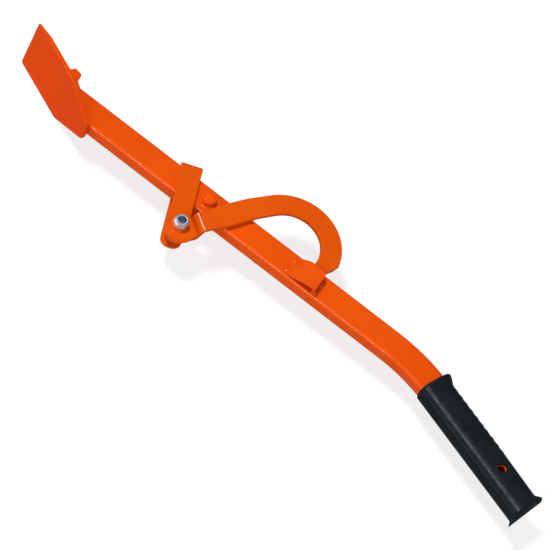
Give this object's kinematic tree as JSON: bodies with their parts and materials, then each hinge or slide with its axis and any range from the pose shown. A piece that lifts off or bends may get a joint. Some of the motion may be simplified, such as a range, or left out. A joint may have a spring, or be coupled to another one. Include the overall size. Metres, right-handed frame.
{
  "type": "felling lever",
  "caption": "Hand lever of bent rectangular tube with a spade blade, a swinging cant hook on a saddle strap, a keeper for its beak and a rubber grip.",
  "frame": {"origin": "centre of the part's box, at its lowest height, with the lever lying on its side", "axes": "+X along the shaft from the blade to the grip, +Y to the side the hook's ring bulges to, +Z across the lever, out of the side with the nut and the hook's ring"},
  "size_m": [0.795, 0.1736, 0.0874],
  "materials": {
    "paint": "satin orange powder coat over steel, worn a little at the edges",
    "rubber": "near-black soft grip with a dull sheen",
    "zinc": "bright zinc plate",
    "nylon": "locking ring of the nut",
    "bronze": "plain bearing bronze"
  },
  "bodies": {
    "lever": {"shaft_tube": "paint", "spade_blade": "paint", "blade_gusset": "paint", "grip": "rubber", "keeper": "paint", "stop_stud": "paint"},
    "saddle": {"saddle_strap": "paint", "pivot_bolt": "zinc", "pivot_nut": "zinc", "nut_ring": "nylon", "washer_front": "zinc", "washer_back": "zinc", "spacer_front": "zinc", "spacer_back": "zinc"},
    "hook": {"cant_hook": "paint", "hook_bush": "bronze"}
  },
  "joints": [
    {"name": "saddle_rock", "type": "hinge", "parent": "lever", "child": "saddle", "pos_m": [-0.17048, 0.02514, 0.0437], "axis": [0, 0, 1], "range_deg": [0, 8]},
    {"name": "hook_pivot", "type": "hinge", "parent": "saddle", "child": "hook", "pos_m": [-0.12369, -0.04456, 0.0437], "axis": [0, 0, 1], "range_deg": [0, 5]}
  ]
}
